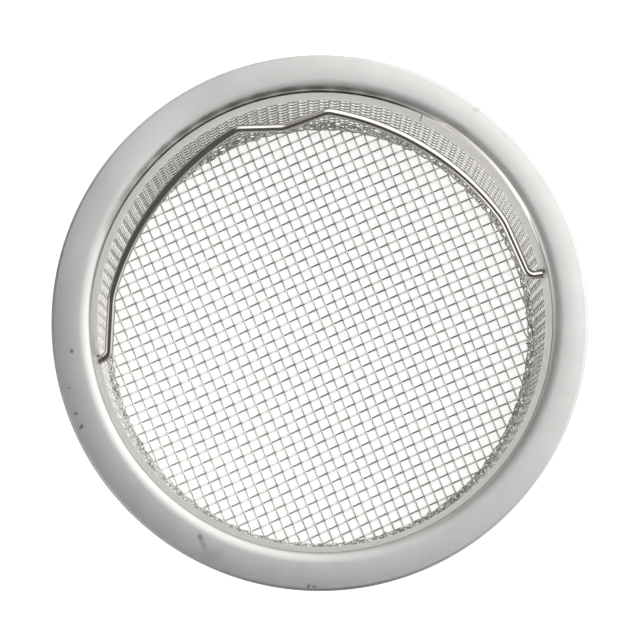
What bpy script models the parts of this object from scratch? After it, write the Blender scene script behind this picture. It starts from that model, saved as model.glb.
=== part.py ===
"""Round sink strainer: a pressed flange ring, a clamping band, a cup of woven wire and a wire bail.

The cup is a strip of wire cloth rolled into a wall, with its lower edge turned in over the edge of a
disc of the same cloth. Metres, +Z up. The origin is the bottom centre of the cup's floor. +X runs
along the bail's pivot line, and the bail leans over the cup's mouth towards +Y, a little above the
flange. Depths are measured down from the top face of the flange.
"""
from math import atan2, ceil, cos, pi, radians, sin, tan

import bmesh
import bpy
from mathutils import Matrix, Vector

# Whole object
rim_height = 0.0565            # top face of the flange above the underside of the floor
fit_gap = 0.0003               # clearance between pieces that touch on the real strainer
clamp_gap = 0.0002             # the same, on each side of the cloth that the band clamps
ring_segments = 72

# Flange ring, pressed from one sheet
neck_radius = 0.0495           # inner face of the neck
neck_bend_radius = 0.0018      # bend from the flange down into the neck, on its upper face
neck_depth = 0.0090
flange_width = 0.0075          # from the inner face of the neck to the outer edge
rim_sheet = 0.0005
rim_edge_radius = 0.0008       # turned-down outer edge, on its outer face
rim_edge_depth = 0.0011

# Clamping band, a strip bent into a ring inside the neck
band_sheet = 0.0004
band_top_depth = 0.0026
band_flare_depth = 0.0050
band_bottom_depth = 0.0080
band_seam_width = 0.0004       # butt joint of the strip
band_seam_angle = radians(53)

# Wire cloth
weave_ridge = 0.00025          # how far the wire on top stands up at a crossing

# Wall of the cup, a strip of cloth with its lower edge turned in
wall_sheet = 0.0008
wall_draft = 0.0002            # the wall is this much narrower at its foot than at the top
wall_corner_radius = 0.0014    # on the middle of the cloth
wall_lip = 0.0004              # flat edge of the turned-in part
wall_border = 0.0020           # plain ring at the top and at the foot
wall_columns = 24
wall_rows = 2
wall_strip = 0.0022

# Floor of the cup, a disc of cloth with its edge pressed flat
floor_angle = radians(13.9)    # direction of the first set of wires, from +X
floor_pitch = 0.0108
floor_strip = 0.0018
floor_sheet = 0.0006
hem_sheet = 0.0008
hem_show = 0.0007              # how much of the pressed edge shows inside the lip
floor_lap = 0.0015             # how far it runs out under the lip

# Bail, one bent wire
wire_radius = 0.0009
pivot_depth = 0.0050
pivot_offset = 0.0013          # pivot line to the middle of the cup, towards +Y
pivot_overhang = 0.0008        # how far each wire end stands out of the neck
pivot_weave_gap = 0.0006       # from a wire end down to the cut edge of the weave
bail_raise = radians(12)       # slope of the bail above the horizontal, as it stands in the photo
bail_side_gap = 0.00225        # from the face of the band in to the corner of each shoulder
bail_shoulder_radius = 0.0022
bail_elbow_inset = 0.0032      # from that corner in to the corner of the elbow
bail_elbow_reach = 0.0129      # and from the pivot line out to it
bail_elbow_radius = 0.0135
bail_bow_inset = 0.0110        # from the elbow in to where the lines of the bow's ends cross
bail_bow_drop = 0.0090         # and from the peaks back to it
bail_bow_radius = 0.0590
bail_tip_gap = 0.0051          # the peaks reach this much less than the radius of the band
bail_peak_x = 0.0098
bail_peak_radius = 0.0032
bail_thumb_dip = 0.0016        # depth of the dip between the two peaks
bail_thumb_radius = 0.0050

# Sizes that follow from the ones above
rim_radius = neck_radius + flange_width
wall_top_radius = neck_radius - clamp_gap - wall_sheet / 2
wall_foot_radius = wall_top_radius - wall_draft
band_radius = wall_top_radius - wall_sheet / 2 - clamp_gap - band_sheet    # inner face, below the flare
band_flare = neck_radius - clamp_gap - band_sheet - band_radius            # lean of its top, over the weave
pivot_height = rim_height - pivot_depth
wall_top_height = pivot_height - wire_radius - pivot_weave_gap
lip_height = hem_sheet + fit_gap + wall_sheet / 2
lip_radius = wall_foot_radius - wall_corner_radius - wall_lip
bail_shoulder_x = band_radius - bail_side_gap
bail_elbow_x = bail_shoulder_x - bail_elbow_inset
bail_bow_x = bail_elbow_x - bail_bow_inset
bail_peak_reach = band_radius - bail_tip_gap
bail_bow_reach = bail_peak_reach - bail_bow_drop


def clear_scene():
    for obj in list(bpy.data.objects):
        bpy.data.objects.remove(obj, do_unlink=True)


def new_collection(name):
    collection = bpy.data.collections.new(name)
    bpy.context.scene.collection.children.link(collection)
    return collection


def steel(name, color, roughness):
    material = bpy.data.materials.new(name)
    material.use_nodes = True
    shader = material.node_tree.nodes["Principled BSDF"]
    shader.inputs["Base Color"].default_value = (*color, 1.0)
    shader.inputs["Metallic"].default_value = 1.0
    shader.inputs["Roughness"].default_value = roughness
    material.diffuse_color = (*color, 1.0)
    return material


def add_object(name, data, collection, material=None):
    obj = bpy.data.objects.new(name, data)
    collection.objects.link(obj)
    if material:
        data.materials.append(material)
    return obj


def add_cutter(name, bm, collection):
    mesh = bpy.data.meshes.new(name)
    bm.to_mesh(mesh)
    bm.free()
    obj = add_object(name, mesh, collection)
    obj.display_type = "WIRE"
    obj.hide_render = True
    return obj


def smooth(mesh, angle=radians(32)):
    mesh.shade_smooth()
    mesh.set_sharp_from_angle(angle=angle)


def arc(centre, radius, start, end, steps):
    """Points on an arc in the (radius, height) plane, angles in degrees."""
    points = []
    for k in range(steps + 1):
        a = radians(start + (end - start) * k / steps)
        points.append((centre[0] + radius * cos(a), centre[1] + radius * sin(a)))
    return points


def turned_sheet(name, profile, thickness, collection, material):
    """A ring of sheet metal. The profile is its visible face, and the sheet lies behind it."""
    bm = bmesh.new()
    verts = [bm.verts.new((r, 0, z)) for r, z in profile]
    for a, b in zip(verts, verts[1:]):
        bm.edges.new((a, b))
    mesh = bpy.data.meshes.new(name)
    bm.to_mesh(mesh)
    bm.free()
    obj = add_object(name, mesh, collection, material)
    screw = obj.modifiers.new("Turn", "SCREW")
    screw.steps = screw.render_steps = ring_segments
    screw.use_merge_vertices = True
    screw.merge_threshold = 0.00001
    screw.use_smooth_shade = True
    shell = obj.modifiers.new("Sheet", "SOLIDIFY")
    shell.thickness = thickness
    shell.offset = -1
    shell.use_even_offset = True
    return obj


def cut(obj, cutter, operation="DIFFERENCE"):
    boolean = obj.modifiers.new(cutter.name, "BOOLEAN")
    boolean.operation = operation
    boolean.solver = "EXACT"
    boolean.object = cutter
    return boolean


def rim_profile():
    top = rim_height
    bend = arc((neck_radius + neck_bend_radius, top - neck_bend_radius), neck_bend_radius, 180, 90, 5)
    edge = arc((rim_radius - rim_edge_radius, top - rim_edge_radius), rim_edge_radius, 90, 0, 2)
    return [(neck_radius, top - neck_depth), *bend, *edge, (rim_radius, top - rim_edge_depth)]


def band_profile():
    top = rim_height
    return [
        (band_radius, top - band_bottom_depth),
        (band_radius, top - band_flare_depth),
        (band_radius + band_flare, top - band_top_depth),
    ]


def pivot_hole_cutter(collection):
    bm = bmesh.new()
    place = Matrix.Translation((0, pivot_offset, pivot_height)) @ Matrix.Rotation(pi / 2, 4, "Y")
    bmesh.ops.create_cone(bm, cap_ends=True, segments=20, radius1=wire_radius + fit_gap,
                          radius2=wire_radius + fit_gap, depth=2.2 * rim_radius, matrix=place)
    return add_cutter("pivot_holes", bm, collection)


def band_seam_cutter(collection):
    bm = bmesh.new()
    height = 2 * band_bottom_depth
    size = Matrix.Diagonal((4 * band_flare + 4 * band_sheet, band_seam_width, height, 1))
    place = Matrix.Rotation(band_seam_angle, 4, "Z") @ Matrix.Translation((band_radius, 0, rim_height))
    bmesh.ops.create_cube(bm, size=1, matrix=place @ size)
    return add_cutter("band_seam", bm, collection)


def wall_profile():
    """Middle of the wall's cloth as (radius, height), from the turned-in edge up to the top."""
    corner = (lip_radius + wall_lip, lip_height + wall_corner_radius)
    bend = arc(corner, wall_corner_radius, -90, 0, 4)
    return [(lip_radius, lip_height), *bend, (wall_top_radius, wall_top_height)]


def strip_lines(centres, width, bays, end=None):
    """Lines across a row of strips: three on each strip, with the bays between divided evenly.

    Each line is (position, strip number or None, on its middle). The second list says for each
    space between two lines whether it is on a strip.
    """
    lines, solid = [], []
    for number, centre in enumerate(centres):
        for offset, middle in ((-width / 2, False), (0, True), (width / 2, False)):
            lines.append((centre + offset, number, middle))
        solid += [True, True]
        following = centres[number + 1] if number + 1 < len(centres) else end
        if following is None:
            continue
        start, stop = centre + width / 2, following - width / 2
        for k in range(1, bays):
            lines.append((start + (stop - start) * k / bays, None, False))
        solid += [False] * bays
    return lines, solid


def woven_sheet(name, across, along, place, closed=False):
    """A sheet of crossing strips with square gaps, ridged over and under like a plain weave.

    At each crossing the ridge follows one set of strips or the other, in turn.
    """
    lines, solid = across
    rows, row_solid = along
    bm = bmesh.new()
    grid = []
    for u, i, u_middle in lines:
        column = []
        for v, j, v_middle in rows:
            crossing = i is not None and j is not None
            over = crossing and (i + j) % 2 == 0
            raised = crossing and ((u_middle and (over or v_middle)) or (v_middle and not over))
            column.append(bm.verts.new(place(u, v, weave_ridge if raised else 0)))
        grid.append(column)
    count = len(lines)
    for a in range(count if closed else count - 1):
        for b in range(len(rows) - 1):
            if solid[a] or row_solid[b]:
                c = (a + 1) % count
                bm.faces.new((grid[a][b], grid[c][b], grid[c][b + 1], grid[a][b + 1]))
    loose = [vert for vert in bm.verts if not vert.link_faces]
    bmesh.ops.delete(bm, geom=loose, context="VERTS")
    mesh = bpy.data.meshes.new(name)
    bm.to_mesh(mesh)
    bm.free()
    return mesh


def thicken(obj, thickness, offset=0):
    shell = obj.modifiers.new("Sheet", "SOLIDIFY")
    shell.thickness = thickness
    shell.offset = offset
    shell.use_even_offset = True
    obj.modifiers.new("Flat faces", "TRIANGULATE")


def floor_weave(cutters):
    """The square weave of the floor, trimmed to a disc that laps onto the pressed edge."""
    turn = Matrix.Rotation(floor_angle, 4, "Z")
    level = hem_sheet / 2
    reach = lip_radius - fit_gap
    count = ceil(reach / floor_pitch)
    centres = [k * floor_pitch for k in range(-count, count + 1)]
    lines = strip_lines(centres, floor_strip, 1)
    mesh = woven_sheet("floor_weave", lines, lines, lambda u, v, lift: turn @ Vector((u, v, level + lift)))
    obj = add_object("floor_weave", mesh, cutters)
    obj.display_type = "WIRE"
    obj.hide_render = True
    thicken(obj, floor_sheet)
    bm = bmesh.new()
    bmesh.ops.create_cone(bm, cap_ends=True, segments=ring_segments, radius1=reach, radius2=reach,
                          depth=8 * hem_sheet)
    cut(obj, add_cutter("floor_trim", bm, cutters), "INTERSECT")
    return obj


def floor(name, collection, cutters, material):
    """Disc of cloth that closes the cup: the weave and its pressed edge."""
    hem = [(lip_radius - hem_show, hem_sheet), (lip_radius + floor_lap, hem_sheet)]
    obj = turned_sheet(name, hem, hem_sheet, collection, material)
    cut(obj, floor_weave(cutters), "UNION")
    return obj


def wall(name, collection, material):
    """Turned-in edge, corner and wall of the cup, with its rows of openings."""
    profile = wall_profile()
    lengths = [0.0]
    for (r0, z0), (r1, z1) in zip(profile, profile[1:]):
        lengths.append(lengths[-1] + ((r1 - r0) ** 2 + (z1 - z0) ** 2) ** 0.5)
    wall_start, wall_end = lengths[-2], lengths[-1]

    def place(angle, s, lift):
        k = max(n for n in range(len(profile) - 1) if n == 0 or s >= lengths[n] - 1e-9)
        t = (s - lengths[k]) / (lengths[k + 1] - lengths[k])
        r = profile[k][0] + (profile[k + 1][0] - profile[k][0]) * t
        z = profile[k][1] + (profile[k + 1][1] - profile[k][1]) * t
        return Vector(((r - lift) * cos(angle), (r - lift) * sin(angle), z))

    low, high = wall_start + wall_border, wall_end - wall_border
    rows = [(s, None, False) for s in lengths[:-1]]
    row_solid = [True] * len(rows)
    step = (high - low) / wall_rows
    rows.append((low, None, False))
    for k in range(1, wall_rows):
        centre = low + k * step
        row_solid += [False, True, True]
        rows += [(centre + offset, k, offset == 0) for offset in (-wall_strip / 2, 0, wall_strip / 2)]
    row_solid += [False, True]
    rows += [(high, None, False), (wall_end, None, False)]
    pitch = 2 * pi / wall_columns
    centres = [k * pitch for k in range(wall_columns)]
    columns = strip_lines(centres, wall_strip / wall_top_radius, 2, end=2 * pi)
    mesh = woven_sheet(name, columns, (rows, row_solid), place, closed=True)
    obj = add_object(name, mesh, collection, material)
    thicken(obj, wall_sheet)
    smooth(mesh)
    return obj


def rounded(corners, radii, steps):
    """Path through the corners, with each inner one rounded by an arc of its own radius.

    Where two arcs would need more than the side between them, both get smaller.
    """
    reaches = [0.0]
    for before, corner, after, radius in zip(corners, corners[1:], corners[2:], radii):
        half = (before - corner).angle(after - corner) / 2
        reaches.append(radius / tan(half))
    reaches.append(0.0)
    shares = [1.0] * len(corners)
    for k in range(len(corners) - 1):
        room = (corners[k + 1] - corners[k]).length / (reaches[k] + reaches[k + 1])
        for n in (k, k + 1):
            shares[n] = min(shares[n], 0.97 * room)
    path = [corners[0]]
    for k in range(1, len(corners) - 1):
        corner = corners[k]
        back = (corners[k - 1] - corner).normalized()
        ahead = (corners[k + 1] - corner).normalized()
        half = back.angle(ahead) / 2
        reach = reaches[k] * shares[k]
        centre = corner + (back + ahead).normalized() * (reach / cos(half))
        first = corner + back * reach - centre
        last = corner + ahead * reach - centre
        swing = atan2(first.x * last.y - first.y * last.x, first.dot(last))
        count = steps[k - 1]
        path += [centre + Matrix.Rotation(swing * n / count, 2) @ first for n in range(count + 1)]
    path.append(corners[-1])
    return path


def bail_path():
    """Middle line of the bail in its own plane: x along the pivot line, y away from it."""
    end = Vector((neck_radius + rim_sheet + pivot_overhang, 0))
    shoulder = Vector((bail_shoulder_x, 0))
    elbow = Vector((bail_elbow_x, bail_elbow_reach))
    bow = Vector((bail_bow_x, bail_bow_reach))
    peak = Vector((bail_peak_x, bail_peak_reach))
    thumb = Vector((0, bail_peak_reach - bail_thumb_dip))
    half = [end, shoulder, elbow, bow, peak]
    corners = half + [thumb] + [Vector((-p.x, p.y)) for p in reversed(half)]
    radii = [bail_shoulder_radius, bail_elbow_radius, bail_bow_radius, bail_peak_radius]
    steps = [7, 4, 11, 5]
    return rounded(corners, [*radii, bail_thumb_radius, *reversed(radii)], [*steps, 4, *reversed(steps)])


def bail(name, collection, material):
    curve = bpy.data.curves.new(name, "CURVE")
    curve.dimensions = "3D"
    curve.bevel_depth = wire_radius
    curve.bevel_resolution = 3
    curve.use_fill_caps = True
    path = bail_path()
    spline = curve.splines.new("POLY")
    spline.points.add(len(path) - 1)
    for point, (x, y) in zip(spline.points, path):
        point.co = (x, y, 0, 1)
    spline.use_smooth = True
    obj = add_object(name, curve, collection, material)
    obj.location = (0, pivot_offset, pivot_height)
    obj.rotation_euler = (bail_raise, 0, 0)
    return obj


def build():
    clear_scene()
    parts = new_collection("sink_strainer")
    cutters = new_collection("cutters")

    satin = steel("satin_steel", (0.63, 0.63, 0.62), 0.32)
    plain = steel("plain_steel", (0.66, 0.65, 0.62), 0.38)
    woven = steel("woven_wire", (0.70, 0.69, 0.66), 0.30)
    bright = steel("bright_wire", (0.72, 0.69, 0.64), 0.20)

    holes = pivot_hole_cutter(cutters)
    rim = turned_sheet("rim_flange", rim_profile(), rim_sheet, parts, satin)
    cut(rim, holes)
    band = turned_sheet("inner_band", band_profile(), band_sheet, parts, plain)
    cut(band, holes)
    cut(band, band_seam_cutter(cutters))

    wall("mesh_wall", parts, woven)
    floor("mesh_floor", parts, cutters, woven)
    bail("bail_handle", parts, bright)


build()
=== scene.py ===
"""Looks for the sink strainer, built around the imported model.

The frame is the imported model's: metres, +Z up, the origin at the bottom centre of the cup, +X along
the bail's pivot line, and the bail leaning towards +Y. Shapes are worked out in millimetres, and
add_mesh turns them into metres. A direction in the photo is in degrees, from its right towards its
top. The flange and the band show the pressed sheets, and the cup shows every wire of its cloth.
"""
from math import atan2, cos, degrees, pi, radians, sin, tan

import bmesh
import bpy
import numpy as np
from mathutils import Matrix, Vector

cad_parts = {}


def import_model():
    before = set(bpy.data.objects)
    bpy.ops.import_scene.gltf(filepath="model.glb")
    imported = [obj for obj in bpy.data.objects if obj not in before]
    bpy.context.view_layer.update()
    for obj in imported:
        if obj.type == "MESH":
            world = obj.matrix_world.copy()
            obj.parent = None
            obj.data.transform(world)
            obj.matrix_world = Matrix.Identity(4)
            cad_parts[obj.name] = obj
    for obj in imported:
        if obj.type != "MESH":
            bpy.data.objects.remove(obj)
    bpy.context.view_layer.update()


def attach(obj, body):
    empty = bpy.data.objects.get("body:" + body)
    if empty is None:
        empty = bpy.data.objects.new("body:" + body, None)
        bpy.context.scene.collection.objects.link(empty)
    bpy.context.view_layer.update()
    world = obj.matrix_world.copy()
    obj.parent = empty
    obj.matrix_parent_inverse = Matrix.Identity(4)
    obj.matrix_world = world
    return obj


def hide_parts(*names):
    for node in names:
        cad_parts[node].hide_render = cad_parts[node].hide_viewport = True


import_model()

MM = 0.001
TOP = 56.5                     # height of the flange. Sizes are in millimetres if nothing else is said

# Flange ring
RIM_SEGMENTS = 288
RIM_RADIUS = 57.0
RIM_SHEET = 0.5
RIM_EDGE = 0.8                 # radius of the turned-down outer edge
RIM_EDGE_DEPTH = 1.25
RIM_CROWN = 0.36               # how far the flange falls away towards its outer edge
NECK_RADIUS = 49.15
NECK_BEND = (2.35, 1.1)        # the bend into the neck, how wide and how deep
NECK_DEPTH = 9.0
NECK_SHIFT = (0.42, 38.0)      # the opening lies a little off the middle, and which way in the photo
NECK_SHIFT_ENDS = (51.5, 55.5) # radii where the shift starts to fade, and where it is gone

# Clamping band, a strip bent into a ring. Angles are degrees from +X towards +Y.
BAND_RADIUS = 47.9
BAND_SHEET = 0.45
BAND_TOP = 2.0
BAND_TOP_RADIUS = 49.04
BAND_FLARE_DEPTH = 5.0
BAND_BOTTOM = 8.0
BAND_SEAM = 53.0               # its butt joint
BAND_SEAM_WIDTH = 0.2
BAND_LIFT = 45.0               # length of the band, up to its joint, that leans against the neck
BAND_LIFT_END = 50.0           # and where that stops
BAND_LIFT_FADES = (9.0, 3.0)   # how slowly that starts and stops
BAND_LIFT_SIZE = (0.55, 1.75)  # how far out and up its top edge moves there
BAND_ROLL = (0.04, 0.90)       # size of its rounded lip, and how much the lift adds to that
BAND_GAP = 0.26                # past its joint it stands this far off the neck
BAND_GAP_ENDS = (132.0, 168.0) # where that gap starts to close, and where it is closed
BAND_GAP_FADE = 8.0
BAND_STEPS = 361

# Wire cloth
WIRE = 0.25                    # radius of a wire, and how far it swings over and under
WIRE_SIDES = 6
WIRE_SAMPLES = 4               # points along a wire between two crossings

# Wall of the cup
WALL_TOP_RADIUS = 49.0
WALL_FOOT_RADIUS = 48.8
WALL_TOP = 49.9
WALL_COLUMNS = 134
WALL_ROW = 2.36
WALL_CUT = 0.6                 # from the top row to the cut edge
WALL_CORNER = 1.4
WALL_LIP_RADIUS = 47.1         # how far in the wall's lower edge is turned
WALL_LIP_HEIGHT = 1.25
WALL_PRESSED = 4.2             # length of cloth, from its lower edge, where the rows are pressed together
WALL_PRESSED_ROWS = (0.62, 0.34)   # their places, as shares of the way to the first even row
WALL_LAST_ROW = 0.12
WALL_FRAY = 4.0                # length of cloth, from its lower edge, that is frayed
WALL_LEAN = 0.10               # wobble of the rows
WALL_LEAN_STEP = 0.3           # radians that it moves on from row to row
WALL_TWIST = 0.004             # wobble of the uprights, in radians
WALL_FRAY_SIZES = (0.22, 0.007)    # extra wobble of rows and uprights in the frayed edge
WALL_FRAY_STEPS = (0.9, 0.05)  # how fast that of the uprights changes, from one to the next and along one

# Loose wires of the turned-in edge, a little thinner than the others
HEM_WIRE = 0.2
HEM_WIRES = 4
HEM_START = 0.40
HEM_STEP = 0.55
HEM_SWAY = 0.60
HEM_RISE = 0.35

# Floor of the cup
FLOOR_LEVEL = 0.52
FLOOR_LINES = 24               # wires on each side of the middle one
LINES_A = (-0.1025, 0.4213)    # wires a millimetre, across each set
LINES_B = (0.4237, 0.0852)
PHASE_A, PHASE_B = -0.4805, -0.3756
PULL_RADIUS = 45.0             # the unit of length in pulled
PULL_REACH = 50.0              # and how far from the middle it is used
PULL_ROUNDS = 8
FOLD = 47.9                    # the cloth of the floor is turned back here
FOLD_BEND = 0.45               # radius of the turn
FOLD_END = 50.3                # how far the cloth would reach laid flat
FRAY_START = 46.6              # radius where the floor's cloth starts to be uneven
FRAY_WIDTH = 0.8
FRAY_SIZES = (0.22, 0.12)      # how far that moves it along the floor and up
FRAY_LAG = 2.0                 # radians between the two

# Bail
BAIL_WIRE = 0.895
BAIL_SIDES = 24
BAIL_RAISE = 12.0              # degrees
BAIL_LEAN = 0.005              # how far the hand-bent bow leans along the pivot line, for its reach
BAIL_CORNERS = ((50.8, 0), (45.65, 0), (42.45, 12.9), (31.45, 33.8), (9.8, 42.8))   # end to peak
BAIL_RADII = (2.2, 13.5, 59.0, 3.2)
BAIL_STEPS = (12, 10, 36, 10)
BAIL_THUMB = 41.2              # reach of the dip between the peaks
BAIL_THUMB_RADIUS = 5.0
BAIL_THUMB_STEPS = 10
PIVOT_Y = 1.3
PIVOT_Z = TOP - 5.0
PIVOT_HOLE = 1.15
PIVOT_CUTTER = 130.0           # length of the cutter for both holes

# Photo: how far its right is turned from +X, its camera and the width of its picture
PHOTO_TURN = radians(10.98)
PICTURE = 640
FOCAL_LENGTH = 3681.6          # in pixels of the picture
CAMERA_DISTANCE = 0.780        # metres
CAMERA_TILT = radians(3.5)
CAMERA_TARGET_UP = 0.318       # from the middle of the flange to the middle of the picture
SENSOR = 36.0

# Round patches of light in the sky: direction in the photo, degrees off the zenith, radius, soft
# edge and strength
MAIN_LIGHT = (40, 48, 42, 9, 1.59)
FILL_LIGHT = (212, 80, 26, 8, 1.8)
SIDE_LIGHT = (-20, 67, 17, 10, 1.0)
BACK_LIGHT = (110, 74, 12, 10, 0.6)
DIM_LIGHT = 0.10               # strength of all the rest of the sky
SKY = (1.0, 0.995, 0.985)
FLOOR_PAINT = 0.86
FLOOR_GLOW = 0.66
FLOOR_SIZE = 3.0               # metres, from the middle to each side
FLOOR_DROP = 0.0002            # metres under the strainer

# Painted shade on what is seen edge on, in steps of Layer Weight from where it starts to where it is full
RIM_TURN = (0.2, 0.5)
EDGE_SHADE_TURN = (0.03, 0.30)       # the same for the side of the flange's outer edge that faces the dark, with deeper painted shade
OUTER_EDGE = (0.0535, 0.0545)  # metres from the middle to that edge
EDGE_SHADE_WAY = 222                 # direction in the photo of that side with deeper painted shade
EDGE_SHADE_REACH = (-0.010, 0.030)   # metres that way, from where it starts to where it is full


def photo_way(degrees_up):
    """Level direction in the model from one in the photo."""
    angle = radians(degrees_up) - PHOTO_TURN
    return Vector((cos(angle), sin(angle), 0))


RIGHT = photo_way(0)
UP = photo_way(90)


def in_photo(side, up):
    """Place in the model, in metres, from millimetres to the right and up in the photo."""
    return (RIGHT * side + UP * up) * MM


# Meshes
def add_object(name, data):
    obj = bpy.data.objects.new(name, data)
    bpy.context.scene.collection.objects.link(obj)
    return obj


def add_mesh(name, verts, faces, material):
    """One piece from points in millimetres."""
    mesh = bpy.data.meshes.new(name)
    mesh.from_pydata((np.asarray(verts) * MM).tolist(), [], faces)
    mesh.materials.append(material)
    mesh.shade_smooth()
    return add_object(name, mesh)


def bmesh_object(name, bm):
    mesh = bpy.data.meshes.new(name)
    bm.to_mesh(mesh)
    bm.free()
    return add_object(name, mesh)


def tubes(name, paths, normals, radius, sides, material, closed=False):
    """Round wires along paths, as one piece. The normals keep each wire from twisting."""
    verts, faces = [], []
    base = 0
    turn = 2 * pi * (np.arange(sides) + 0.5) / sides
    for path, normal in zip(paths, normals):
        if closed:
            tangent = np.roll(path, -1, 0) - np.roll(path, 1, 0)
        else:
            tangent = np.gradient(path, axis=0)
        tangent /= np.linalg.norm(tangent, axis=1)[:, None]
        side = np.cross(tangent, normal)
        side /= np.linalg.norm(side, axis=1)[:, None]
        up = np.cross(side, tangent)
        ring = (path[:, None, :] + radius * np.cos(turn)[None, :, None] * side[:, None, :]
                + radius * np.sin(turn)[None, :, None] * up[:, None, :])
        verts.append(ring.reshape(-1, 3))
        count = len(path)
        for k in range(count if closed else count - 1):
            a, b = base + k * sides, base + (k + 1) % count * sides
            for s in range(sides):
                t = (s + 1) % sides
                faces.append((a + s, a + t, b + t, b + s))
        if not closed:
            faces.append(tuple(base + s for s in reversed(range(sides))))
            faces.append(tuple(base + (count - 1) * sides + s for s in range(sides)))
        base += count * sides
    return add_mesh(name, np.concatenate(verts), faces, material)


def ring_faces(first, second, count):
    """Faces between two equal rows of points around a closed section."""
    return [(first + n, second + n, second + (n + 1) % count, first + (n + 1) % count) for n in range(count)]


def turned(name, profile, segments, material):
    """Closed profile of (radius, height) points turned about Z."""
    profile = np.array(profile)
    count = len(profile)
    angle = 2 * pi * np.arange(segments) / segments
    verts = np.stack([np.outer(np.cos(angle), profile[:, 0]), np.outer(np.sin(angle), profile[:, 0]),
                      np.tile(profile[:, 1], (segments, 1))], 2).reshape(-1, 3)
    faces = []
    for k in range(segments):
        faces += ring_faces(k * count, (k + 1) % segments * count, count)
    obj = add_mesh(name, verts, faces, material)
    obj.data.set_sharp_from_angle(angle=radians(50))
    return obj


def arc(centre, radius, start, end, steps):
    """Points of an arc, from one angle in degrees to another."""
    angles = [radians(start + (end - start) * k / steps) for k in range(steps + 1)]
    return [(centre[0] + radius * cos(angle), centre[1] + radius * sin(angle)) for angle in angles]


def waves(seed, count, low, high):
    """A smooth random wobble from about -1 to 1 as a function of an angle, from a few sine waves."""
    rng = np.random.default_rng(seed)
    numbers = rng.integers(low, high, count)
    phases = rng.uniform(0, 2 * pi, count)

    def wobble(angle):
        angle = np.asarray(angle)
        return sum(np.sin(n * angle + p) for n, p in zip(numbers, phases)) / count ** 0.5 / 1.5
    return wobble


# Materials
def new_material(name):
    material = bpy.data.materials.new(name)
    material.use_nodes = True
    tree = material.node_tree
    return material, tree, tree.nodes["Principled BSDF"]


def node(tree, kind, inputs=(), **settings):
    """Adds a node. Each of its inputs is a plain value or an output of another node."""
    made = tree.nodes.new(kind)
    for key, value in settings.items():
        setattr(made, key, value)
    for key, value in dict(inputs).items():
        if isinstance(value, bpy.types.NodeSocket):
            tree.links.new(value, made.inputs[key])
        else:
            made.inputs[key].default_value = value
    return made


def math_node(tree, operation, *values):
    return node(tree, "ShaderNodeMath", enumerate(values), operation=operation).outputs[0]


def vector_node(tree, operation, *values):
    return node(tree, "ShaderNodeVectorMath", enumerate(values), operation=operation)


def ramp(tree, value, start, end, low=0.0, high=1.0, kind="LINEAR"):
    """Turns the range from start to end of a value into one from low to high, and holds it beyond."""
    inputs = {"Value": value, "From Min": start, "From Max": end, "To Min": low, "To Max": high}
    return node(tree, "ShaderNodeMapRange", inputs, interpolation_type=kind).outputs[0]


def mixed(tree, share, first, second):
    """First colour, with that share of the second one."""
    return node(tree, "ShaderNodeMix", {0: share, 6: first, 7: second}, data_type="RGBA").outputs[2]


# Dark tone for dirt and wear, and for the painted shade in the crevice
GRIME_AND_SHADE = (0.22, 0.20, 0.17, 1)
SMEAR = (0.45, 0.44, 0.42, 1)
SHINE = (0.95, 0.95, 0.95, 1)
MARK_GRAIN = 1600.0
MARK_SHAKE = 0.0005            # metres that the edge of a mark wanders

# Marks on the flange, wear and dirt and also patches of painted sheen: place in the photo, direction, half
# its length and width, strength and tone
MARKS = [
    ((-52.6, -6.3), 0, 0.7, 0.6, 0.8, GRIME_AND_SHADE),        # specks at the left
    ((-51.7, -19.5), 20, 0.7, 0.5, 0.8, GRIME_AND_SHADE),
    ((-50.5, -22.3), 60, 0.9, 0.5, 0.9, GRIME_AND_SHADE),
    ((-53.2, -14.0), 80, 0.4, 0.4, 0.5, GRIME_AND_SHADE),
    ((-25.3, -45.6), 110, 1.1, 0.7, 0.65, GRIME_AND_SHADE),    # scuff at the lower left
    ((-24.6, -47.2), 110, 2.2, 0.9, 0.55, SMEAR),
    ((-22.9, -49.3), 5, 3.6, 2.4, 0.25, SMEAR),
    ((-2.4, -55.9), 60, 0.8, 0.45, 0.8, GRIME_AND_SHADE),      # specks on the lower edge
    ((-1.2, -56.0), 0, 0.8, 0.4, 0.7, GRIME_AND_SHADE),
    ((29.9, 41.5), -35, 3.6, 0.9, 0.4, SMEAR),       # smears at the upper right
    ((33.3, 45.2), 20, 1.4, 0.8, 0.3, SMEAR),
    ((-41.3, 35.5), 40, 1.0, 0.3, 0.7, SHINE),       # pale scratches at the upper left
    ((-40.5, 33.2), 50, 1.2, 0.3, 0.7, SHINE),
    ((-38.0, 38.5), 47, 22, 10, 0.75, SHINE),        # painted sheen, lighter where more light would fall
    ((-52.5, 18.0), 71, 16, 6, 0.6, SHINE),
]

# Painted shade in the crevice between the flange and the band, along the top of the photo
CREVICE_SHADE_MIDDLE = (0.04, 0.45)
CREVICE_SHADE_RADIUS = 49.4
CREVICE_SHADE_SIZE = (4.6, 0.85)
CREVICE_SHADE_WAYS = (64, *range(70, 155, 7))
CREVICE_SHADE_STRENGTHS = (0.3, 0.5, 0.7, 0.8, 0.8, 0.8, 0.8, 0.8, 0.8, 0.75, 0.65, 0.55, 0.45, 0.3)


def crevice_shade():
    """The painted shade as a row of overlapping marks."""
    marks = []
    for way, strength in zip(CREVICE_SHADE_WAYS, CREVICE_SHADE_STRENGTHS):
        side = CREVICE_SHADE_MIDDLE[0] + CREVICE_SHADE_RADIUS * cos(radians(way))
        up = CREVICE_SHADE_MIDDLE[1] + CREVICE_SHADE_RADIUS * sin(radians(way))
        marks.append(((side, up), way - 90, *CREVICE_SHADE_SIZE, strength, GRIME_AND_SHADE))
    return marks


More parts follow.
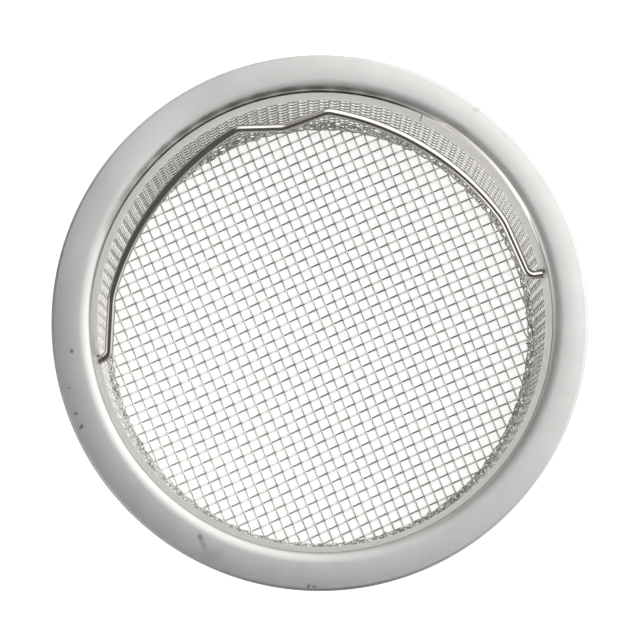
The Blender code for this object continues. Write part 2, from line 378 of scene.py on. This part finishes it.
def worn_and_painted_light(tree, place, colour, marks):
    """Adds soft marks to a colour: wear and dirt, painted shade and painted sheen."""
    if not marks:
        return colour
    noise = node(tree, "ShaderNodeTexNoise", {"Vector": place, "Scale": MARK_GRAIN, "Detail": 2.0})
    shaken = vector_node(tree, "MULTIPLY_ADD", noise.outputs["Color"], (MARK_SHAKE, MARK_SHAKE, 0), place)
    mean_shake = Vector((MARK_SHAKE, MARK_SHAKE, 0)) / 2
    for (side, up), way, along, across, strength, tone in marks:
        spot = node(tree, "ShaderNodeMapping", {
            "Vector": shaken.outputs[0], "Location": in_photo(side, up) + mean_shake,
            "Rotation": (0, 0, radians(way) - PHOTO_TURN), "Scale": (along * MM, across * MM, 1),
        }, vector_type="TEXTURE")
        far = vector_node(tree, "LENGTH", spot.outputs[0]).outputs["Value"]
        colour = mixed(tree, ramp(tree, far, 0.2, 1.0, strength, 0.0, "SMOOTHSTEP"), colour, tone)
    return colour


def rim_share(tree, place, rim, edge_shade):
    """Share of its colour that a surface keeps as it turns away from the eye, down to rim: painted shade.

    With a value for the edge's shade, the flange's outer edge keeps all of it, and on its side that faces
    the dark that share, a deeper painted shade.
    """
    facing = node(tree, "ShaderNodeLayerWeight", {"Blend": 0.5}).outputs["Facing"]
    if edge_shade is None:
        return ramp(tree, facing, *RIM_TURN, 1.0, rim)
    level = vector_node(tree, "MULTIPLY", place, (1, 1, 0)).outputs[0]
    far = vector_node(tree, "LENGTH", level).outputs["Value"]
    outer = ramp(tree, far, *OUTER_EDGE)
    towards = vector_node(tree, "DOT_PRODUCT", place, photo_way(EDGE_SHADE_WAY)).outputs["Value"]
    edge_shaded = math_node(tree, "MULTIPLY", outer, ramp(tree, towards, *EDGE_SHADE_REACH))
    start = ramp(tree, edge_shaded, 0.0, 1.0, RIM_TURN[0], EDGE_SHADE_TURN[0])
    end = ramp(tree, edge_shaded, 0.0, 1.0, RIM_TURN[1], EDGE_SHADE_TURN[1])
    bright_share = ramp(tree, outer, 0.0, 1.0, rim, 1.0)
    return ramp(tree, facing, start, end, 1.0, ramp(tree, edge_shaded, 0.0, 1.0, bright_share, edge_shade))


def steel(name, light, dark, roughness, grain_scale, bump, rim=1.0, marks=(), edge_shade=None):
    """Steel with a fine uneven grain in its colour, its roughness and its surface.

    Its rims, seen edge on, keep the share rim of its colour: painted shade, as where neighbours close by
    shade them.
    """
    material, tree, shader = new_material(name)
    link = tree.links.new
    shader.inputs["Metallic"].default_value = 1.0
    place = node(tree, "ShaderNodeTexCoord").outputs["Object"]
    grain = node(tree, "ShaderNodeTexNoise", {"Vector": place, "Scale": grain_scale, "Detail": 4.0,
                                              "Roughness": 0.6}).outputs["Fac"]
    cloud = node(tree, "ShaderNodeTexNoise", {"Vector": place, "Scale": grain_scale / 14,
                                              "Detail": 2.0}).outputs["Fac"]
    both = math_node(tree, "MULTIPLY_ADD", grain, 0.5, math_node(tree, "MULTIPLY", cloud, 0.5))
    colour = mixed(tree, ramp(tree, both, 0.35, 0.65), (*dark, 1), (*light, 1))
    colour = worn_and_painted_light(tree, place, colour, marks)
    shaded = node(tree, "ShaderNodeVectorMath", {0: colour, "Scale": rim_share(tree, place, rim, edge_shade)},
                  operation="SCALE")
    link(shaded.outputs[0], shader.inputs["Base Color"])
    link(ramp(tree, grain, 0.3, 0.7, roughness * 0.9, roughness * 1.1), shader.inputs["Roughness"])
    relief = node(tree, "ShaderNodeBump", {"Height": grain, "Strength": bump, "Distance": 0.00002})
    link(relief.outputs[0], shader.inputs["Normal"])
    return material


# rim is the share of colour kept where a surface is seen edge on: painted shade
satin = steel("satin_steel_look", light=(0.80, 0.80, 0.79), dark=(0.74, 0.74, 0.73), roughness=0.50,
              grain_scale=2200.0, bump=0.3, rim=0.7, marks=MARKS + crevice_shade(), edge_shade=0.35)
plain = steel("plain_steel_look", light=(0.74, 0.73, 0.69), dark=(0.68, 0.67, 0.63), roughness=0.34,
              grain_scale=1800.0, bump=0.25)
woven = steel("woven_wire_look", light=(0.88, 0.875, 0.85), dark=(0.74, 0.735, 0.71), roughness=0.18,
              grain_scale=1500.0, bump=0.2, rim=0.6)
# the same wire as the floor's, with a darker colour: painted shade on the wall
wall_wire = steel("wall_wire_look", light=(0.80, 0.79, 0.76), dark=(0.64, 0.63, 0.60), roughness=0.09,
                  grain_scale=1500.0, bump=0.2)
bright = steel("bright_wire_look", light=(0.80, 0.77, 0.71), dark=(0.70, 0.67, 0.62), roughness=0.10,
               grain_scale=1500.0, bump=0.10, rim=0.35)


# Floor of the cup
def pulled(q):
    """How far the cloth was pulled out of square, in parts of its pitch, for both sets of wires."""
    x, y = q[..., 0] / PULL_RADIUS, q[..., 1] / PULL_RADIUS
    a = (0.03 + 0.095 * x - 0.25 * x * x - 0.15 * x * y - 0.08 * y * y - 0.30 * x ** 3 - 0.12 * x * x * y
         - 0.09 * x * y * y + 0.08 * y ** 3 + 0.11 * x ** 4 + 0.11 * x ** 3 * y)
    b = (0.05 - 0.05 * x - 0.20 * x * x + 0.07 * x * y - 0.36 * y * y + 0.17 * x ** 3 + 0.07 * x * x * y
         + 0.18 * x ** 4 + 0.13 * x ** 3 * y + 0.12 * (x * y) ** 2 + 0.22 * y ** 4)
    return np.stack([a, b], -1)


def cloth_points(i, j):
    """Places of the cloth's points, where whole i and j are wires of the first and second set."""
    inverse = np.linalg.inv(np.array([LINES_A, LINES_B]))
    wanted = np.stack([i + PHASE_A, j + PHASE_B], -1)
    q = wanted @ inverse.T
    for _ in range(PULL_ROUNDS):
        q = (wanted + pulled(np.clip(q, -PULL_REACH, PULL_REACH))) @ inverse.T
    return q


def folded(q, wobble):
    """Lays flat points of the floor's cloth into the cup, with its edge turned up and back."""
    r = np.hypot(q[:, 0], q[:, 1])
    phi = np.arctan2(q[:, 1], q[:, 0])
    over = np.clip(r - FOLD, 0, None)
    turn = np.clip(over / FOLD_BEND, 0, pi)
    straight = np.clip(over - FOLD_BEND * pi, 0, None)
    radius = np.where(r > FOLD, FOLD + FOLD_BEND * np.sin(turn) - straight, r)
    height = FLOOR_LEVEL + FOLD_BEND * (1 - np.cos(turn))
    frayed = np.clip((r - FRAY_START) / FRAY_WIDTH, 0, 1)
    radius = radius + FRAY_SIZES[0] * frayed * wobble(phi + height)
    height = height + FRAY_SIZES[1] * frayed * (wobble(phi + FRAY_LAG) + 1)
    return np.stack([radius * np.cos(phi), radius * np.sin(phi), height], 1)


def floor_wire(number, first, wobble):
    """Path and normals of one wire of the first or the second set, or None past the cloth's edge."""
    along = np.arange(-FLOOR_LINES, FLOOR_LINES + 1e-6, 1 / WIRE_SAMPLES)
    same = np.full_like(along, number)
    q = cloth_points(same, along) if first else cloth_points(along, same)
    inside = np.hypot(q[:, 0], q[:, 1]) < FOLD_END
    if inside.sum() < 2 * WIRE_SAMPLES:
        return None
    swing = WIRE * np.cos(pi * (along + number)) * (1 if first else -1)
    q, swing = q[inside], swing[inside]
    base = folded(q, wobble)
    across = np.gradient(q, axis=0)
    side = np.stack([across[:, 1], -across[:, 0], np.zeros(len(q))], 1)
    up = np.cross(side, np.gradient(base, axis=0))
    up /= np.linalg.norm(up, axis=1)[:, None]
    up[np.hypot(q[:, 0], q[:, 1]) < FOLD] = (0, 0, 1)
    return base + up * swing[:, None], up


def floor_cloth():
    wires = []
    for first, wobble in ((True, waves(11, 9, 60, 190)), (False, waves(12, 9, 60, 190))):
        wires += [floor_wire(n, first, wobble) for n in range(-FLOOR_LINES, FLOOR_LINES + 1)]
    paths, normals = zip(*[wire for wire in wires if wire])
    obj = tubes("floor_wires", paths, normals, WIRE, WIRE_SIDES, woven)
    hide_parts("mesh_floor")
    return obj


# Wall of the cup
def wall_section():
    """Middle of the wall's cloth as (radius, height), and the length of cloth below each point."""
    foot = WALL_FOOT_RADIUS - WALL_CORNER
    points = [(WALL_LIP_RADIUS, WALL_LIP_HEIGHT), (foot, WALL_LIP_HEIGHT)]
    points += arc((foot, WALL_LIP_HEIGHT + WALL_CORNER), WALL_CORNER, -90, 0, 12)[1:]
    points.append((WALL_TOP_RADIUS, WALL_TOP))
    points = np.array(points)
    length = np.concatenate([[0], np.cumsum(np.hypot(*np.diff(points, axis=0).T))])
    return points, length


SECTION, SECTION_LENGTH = wall_section()
WALL_END = SECTION_LENGTH[-1]


def section_at(s):
    """Radius and height of the wall's cloth at a length up its section."""
    return np.interp(s, SECTION_LENGTH, SECTION[:, 0]), np.interp(s, SECTION_LENGTH, SECTION[:, 1])


def on_wall(angle, s):
    """Points and inward normals of the wall's cloth, at an angle and a length up its section."""
    angle, s = np.broadcast_arrays(angle, s)
    step = 0.05
    r, z = section_at(s)
    r_below, z_below = section_at(s - step)
    r_above, z_above = section_at(s + step)
    dr, dz = r_above - r_below, z_above - z_below
    size = np.hypot(dr, dz)
    inward, up = -dz / size, dr / size
    point = np.stack([r * np.cos(angle), r * np.sin(angle), z], -1)
    normal = np.stack([inward * np.cos(angle), inward * np.sin(angle), up], -1)
    return point, normal


def row_heights():
    """Length up the section of each row. The rows are pressed together in the turned-in edge."""
    rows = [WALL_END - WALL_CUT]
    while rows[-1] - WALL_ROW > WALL_PRESSED:
        rows.append(rows[-1] - WALL_ROW)
    low = rows[-1]
    rows += [low * share for share in WALL_PRESSED_ROWS] + [WALL_LAST_ROW]
    return sorted(rows)


WALL_ROWS = row_heights()
wall_lean = waves(5, 5, 2, 9)
wall_fray = waves(6, 9, 40, 160)


def uprights():
    paths, normals = [], []
    t = np.arange(0, len(WALL_ROWS) - 1 + 1e-6, 1 / WIRE_SAMPLES)
    s = np.interp(t, np.arange(len(WALL_ROWS)), WALL_ROWS)
    frayed = np.clip(1 - s / WALL_FRAY, 0, 1)
    for k in range(WALL_COLUMNS):
        angle = 2 * pi * k / WALL_COLUMNS
        angle = angle + WALL_TWIST * wall_lean(angle)
        fray = wall_fray(k * WALL_FRAY_STEPS[0] + s * WALL_FRAY_STEPS[1])
        angle = angle + WALL_FRAY_SIZES[1] * frayed * fray
        point, normal = on_wall(angle, s)
        paths.append(point + normal * (WIRE * np.cos(pi * (t + k)))[:, None])
        normals.append(normal)
    return tubes("wall_uprights", paths, normals, WIRE, WIRE_SIDES, wall_wire)


def hoops():
    paths, normals = [], []
    u = np.arange(0, WALL_COLUMNS, 1 / WIRE_SAMPLES)
    angle = 2 * pi * u / WALL_COLUMNS
    for n, s in enumerate(WALL_ROWS):
        frayed = max(0.0, 1 - s / WALL_FRAY)
        height = s + WALL_LEAN * wall_lean(angle + WALL_LEAN_STEP * n)
        height = height + WALL_FRAY_SIZES[0] * frayed * wall_fray(angle + n)
        point, normal = on_wall(angle, np.clip(height, 0.0, WALL_END))
        paths.append(point - normal * (WIRE * np.cos(pi * (u + n)))[:, None])
        normals.append(normal)
    return tubes("wall_hoops", paths, normals, WIRE, WIRE_SIDES, wall_wire, closed=True)


def hem():
    """Loose wires that wander in the turned-in edge."""
    paths, normals = [], []
    count = 2 * WIRE_SAMPLES * WALL_COLUMNS
    angle = 2 * pi * np.arange(count) / count
    for n in range(HEM_WIRES):
        height = HEM_START + HEM_STEP * n + HEM_SWAY * waves(20 + n, 8, 55, 150)(angle)
        point, normal = on_wall(angle, np.clip(height, 0.0, WALL_END))
        paths.append(point + normal * (HEM_RISE * (waves(40 + n, 8, 60, 160)(angle) + 1))[:, None])
        normals.append(normal)
    return tubes("wall_hem", paths, normals, HEM_WIRE, WIRE_SIDES, wall_wire, closed=True)


def wall_cloth():
    wires = [uprights(), hoops(), hem()]
    for obj in wires:
        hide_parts("mesh_wall")
    return wires


# Flange and band
def off_middle(obj):
    """Moves the opening a little off the middle. The outer edge of the flange stays."""
    shift, way = NECK_SHIFT
    start, end = NECK_SHIFT_ENDS
    for vert in obj.data.vertices:
        r = vert.co.xy.length / MM
        share = min(1.0, max(0.0, (end - r) / (end - start)))
        vert.co += photo_way(way) * (shift * MM * share)


def pivot_holes():
    """Cutter for the holes of the bail's two ends."""
    bm = bmesh.new()
    place = Matrix.Translation((0, PIVOT_Y * MM, PIVOT_Z * MM)) @ Matrix.Rotation(pi / 2, 4, "Y")
    bmesh.ops.create_cone(bm, cap_ends=True, segments=32, radius1=PIVOT_HOLE * MM,
                          radius2=PIVOT_HOLE * MM, depth=PIVOT_CUTTER * MM, matrix=place)
    return bmesh_object("pivot_holes", bm)


def cut(obj, cutter):
    """Cuts and keeps the result as the piece's own mesh."""
    modifier = obj.modifiers.new("cut", "BOOLEAN")
    modifier.operation = "DIFFERENCE"
    modifier.solver = "EXACT"
    modifier.object = cutter
    bpy.context.view_layer.update()
    graph = bpy.context.evaluated_depsgraph_get()
    result = bpy.data.meshes.new_from_object(obj.evaluated_get(graph))
    obj.modifiers.clear()
    obj.data = result


def crown(r):
    """Height of the flange's upper face at a radius."""
    start = NECK_RADIUS + NECK_BEND[0]
    return TOP - RIM_CROWN * max(0.0, (r - start) / (RIM_RADIUS - RIM_EDGE - start)) ** 2


def flange(holes):
    edge = RIM_RADIUS - RIM_EDGE
    outer = (edge, crown(edge) - RIM_EDGE)
    wide, deep = NECK_BEND
    bend = (NECK_RADIUS + wide, TOP - deep)
    turn = [radians(90 + 7.5 * k) for k in range(13)]
    top = [(RIM_RADIUS, TOP - RIM_EDGE_DEPTH)]
    top += arc(outer, RIM_EDGE, 0, 90, 8)
    top += [(r, crown(r)) for r in np.linspace(edge, bend[0], 12)[1:-1]]
    top += [(bend[0] + wide * cos(a), bend[1] + deep * sin(a)) for a in turn]
    top += [(NECK_RADIUS, TOP - NECK_DEPTH)]
    under = [(NECK_RADIUS + RIM_SHEET, TOP - NECK_DEPTH)]
    under += [(bend[0] + (wide - RIM_SHEET) * cos(a), bend[1] + (deep - RIM_SHEET) * sin(a))
              for a in reversed(turn)]
    under += [(r, crown(r) - RIM_SHEET) for r in np.linspace(bend[0], edge, 8)[1:-1]]
    under += arc(outer, RIM_EDGE - RIM_SHEET, 90, 0, 4)
    under += [(RIM_RADIUS - RIM_SHEET, TOP - RIM_EDGE_DEPTH)]
    obj = turned("flange", list(reversed(top + under)), RIM_SEGMENTS, satin)
    off_middle(obj)
    cut(obj, holes)
    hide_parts("rim_flange")
    return obj


def band_section(lift, gap):
    """Section of the band. Its top edge leans out to the neck, and rises a little where it lifts."""
    low = TOP - BAND_BOTTOM
    foot = TOP - BAND_FLARE_DEPTH
    back = BAND_RADIUS + BAND_SHEET
    out, up = BAND_LIFT_SIZE
    tip = (BAND_TOP_RADIUS - gap + out * lift, TOP - BAND_TOP + up * lift)
    roll = BAND_ROLL[0] + BAND_ROLL[1] * lift
    inner = [(BAND_RADIUS, low + 0.1), (BAND_RADIUS, foot - 0.4), (BAND_RADIUS + 0.03, foot),
             (BAND_RADIUS + 0.10, foot + 0.45)]
    inner += [(tip[0] - roll * a, tip[1] - roll * b) for a, b in ((1.0, 1.0), (0.74, 0.58), (0.37, 0.26))]
    outer = [(tip[0] + 0.08, tip[1] - 0.04), (tip[0] + 0.04 - 0.58 * lift, tip[1] - 0.55 - 0.20 * lift),
             (back + 0.10, foot + 0.30), (back, foot - 0.4), (back, low + 0.05)]
    return inner + [tip] + outer + [(back - 0.1, low), (BAND_RADIUS + 0.1, low)]


def band(holes):
    joint = degrees(BAND_SEAM_WIDTH / BAND_RADIUS)
    turns = np.linspace(BAND_SEAM - 360 + joint / 2, BAND_SEAM - joint / 2, BAND_STEPS)
    lifting = (turns - (BAND_SEAM - BAND_LIFT)) / BAND_LIFT_FADES[0]
    falling = (BAND_LIFT_END - turns) / BAND_LIFT_FADES[1]
    lifts = np.clip(np.minimum(lifting, falling), 0, 1)
    opening = (turns - BAND_SEAM + 360) / BAND_GAP_FADE
    closing = (BAND_GAP_ENDS[1] - 360 - turns) / (BAND_GAP_ENDS[1] - BAND_GAP_ENDS[0])
    gaps = BAND_GAP * np.clip(np.minimum(opening, closing), 0, 1)
    profile = np.array([band_section(lift, gap) for lift, gap in zip(lifts, gaps)])
    count = profile.shape[1]
    angles = np.radians(turns)[:, None]
    verts = np.stack([np.cos(angles) * profile[..., 0], np.sin(angles) * profile[..., 0],
                      profile[..., 1]], 2).reshape(-1, 3)
    faces = []
    for k in range(BAND_STEPS - 1):
        faces += [face[::-1] for face in ring_faces(k * count, (k + 1) * count, count)]
    last = (BAND_STEPS - 1) * count
    faces += [tuple(range(count)), tuple(reversed(range(last, last + count)))]
    obj = add_mesh("band", verts, faces, plain)
    obj.data.set_sharp_from_angle(angle=radians(40))
    off_middle(obj)
    cut(obj, holes)
    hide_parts("inner_band")
    return obj


# Bail
def rounded(corners, radii, steps):
    """Path through the corners, with each inner one rounded by an arc of its own radius.

    Where two arcs would need more than the side between them, both get smaller.
    """
    reaches = [0.0]
    for before, corner, after, radius in zip(corners, corners[1:], corners[2:], radii):
        half = (before - corner).angle(after - corner) / 2
        reaches.append(radius / tan(half))
    reaches.append(0.0)
    shares = [1.0] * len(corners)
    for k in range(len(corners) - 1):
        room = (corners[k + 1] - corners[k]).length / (reaches[k] + reaches[k + 1])
        for n in (k, k + 1):
            shares[n] = min(shares[n], 0.97 * room)
    path = [corners[0]]
    for k in range(1, len(corners) - 1):
        corner = corners[k]
        back = (corners[k - 1] - corner).normalized()
        ahead = (corners[k + 1] - corner).normalized()
        half = back.angle(ahead) / 2
        reach = reaches[k] * shares[k]
        centre = corner + (back + ahead).normalized() * (reach / cos(half))
        first = corner + back * reach - centre
        last = corner + ahead * reach - centre
        swing = atan2(first.x * last.y - first.y * last.x, first.dot(last))
        count = steps[k - 1]
        path += [centre + Matrix.Rotation(swing * n / count, 2) @ first for n in range(count + 1)]
    path.append(corners[-1])
    return path


def bail():
    half = [Vector(corner) for corner in BAIL_CORNERS]
    corners = half + [Vector((0, BAIL_THUMB))] + [Vector((-p.x, p.y)) for p in reversed(half)]
    radii = [*BAIL_RADII, BAIL_THUMB_RADIUS, *reversed(BAIL_RADII)]
    steps = [*BAIL_STEPS, BAIL_THUMB_STEPS, *reversed(BAIL_STEPS)]
    slope = radians(BAIL_RAISE)
    path = np.array([(p.x + BAIL_LEAN * p.y, PIVOT_Y + p.y * cos(slope), PIVOT_Z + p.y * sin(slope))
                     for p in rounded(corners, radii, steps)])
    normal = np.tile(np.array((0, -sin(slope), cos(slope))), (len(path), 1))
    obj = tubes("bail_wire", [path], [normal], BAIL_WIRE, BAIL_SIDES, bright)
    obj.data.set_sharp_from_angle(angle=radians(60))
    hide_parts("bail_handle")
    return obj


# Camera, floor and light
def camera():
    """Camera of the photo, almost straight above the flange."""
    data = bpy.data.cameras.new("camera")
    data.sensor_width = SENSOR
    data.lens = FOCAL_LENGTH * SENSOR / PICTURE
    data.clip_start = 0.05
    data.clip_end = 20.0
    obj = add_object("camera", data)
    target = Vector((0, 0, TOP * MM)) + UP * (CAMERA_TARGET_UP * MM)
    position = target + CAMERA_DISTANCE * (Vector((0, 0, cos(CAMERA_TILT))) - UP * sin(CAMERA_TILT))
    back = (position - target).normalized()
    right = UP.cross(back).normalized()
    rotation = Matrix((right, back.cross(right), back)).transposed()
    obj.matrix_world = Matrix.Translation(position) @ rotation.to_4x4()
    bpy.context.scene.camera = obj


def pale_floor():
    """Floor that looks white, to the camera and in reflections, and keeps the shadow."""
    material, tree, shader = new_material("pale_floor")
    shader.inputs["Base Color"].default_value = (FLOOR_PAINT, FLOOR_PAINT, FLOOR_PAINT, 1)
    shader.inputs["Roughness"].default_value = 0.9
    shader.inputs["Emission Color"].default_value = (1, 1, 1, 1)
    path = node(tree, "ShaderNodeLightPath")
    seen = math_node(tree, "MAXIMUM", path.outputs["Is Camera Ray"], path.outputs["Is Glossy Ray"])
    seen = math_node(tree, "MAXIMUM", seen, path.outputs["Is Transmission Ray"])
    tree.links.new(math_node(tree, "MULTIPLY", seen, FLOOR_GLOW), shader.inputs["Emission Strength"])
    bm = bmesh.new()
    bmesh.ops.create_grid(bm, x_segments=1, y_segments=1, size=FLOOR_SIZE)
    obj = bmesh_object("floor", bm)
    obj.data.materials.append(material)
    obj.location.z = -FLOOR_DROP


def soft_disc(tree, way, azimuth, off_zenith, radius, edge, strength):
    """Light from a round patch of the sky."""
    middle = photo_way(azimuth) * sin(radians(off_zenith)) + Vector((0, 0, cos(radians(off_zenith))))
    near = vector_node(tree, "DOT_PRODUCT", way, middle).outputs["Value"]
    return ramp(tree, near, cos(radians(radius + edge)), cos(radians(radius - edge)), 0.0, strength,
                "SMOOTHSTEP")


def world():
    """Dim even sky with four round patches of light."""
    made = bpy.data.worlds.new("studio")
    bpy.context.scene.world = made
    made.use_nodes = True
    tree = made.node_tree
    way = node(tree, "ShaderNodeTexCoord").outputs["Generated"]
    strength = DIM_LIGHT
    for light in (MAIN_LIGHT, FILL_LIGHT, SIDE_LIGHT, BACK_LIGHT):
        strength = math_node(tree, "ADD", soft_disc(tree, way, *light), strength)
    back = tree.nodes["Background"]
    tree.links.new(strength, back.inputs["Strength"])
    back.inputs["Color"].default_value = (*SKY, 1)


bpy.context.scene.view_settings.view_transform = "Standard"
camera()
world()
pale_floor()

holes = pivot_holes()
pieces = [floor_cloth(), *wall_cloth(), flange(holes), band(holes)]
bpy.data.objects.remove(holes, do_unlink=True)
for piece in pieces:
    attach(piece, "strainer")
handle = bail()
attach(handle, "bail")
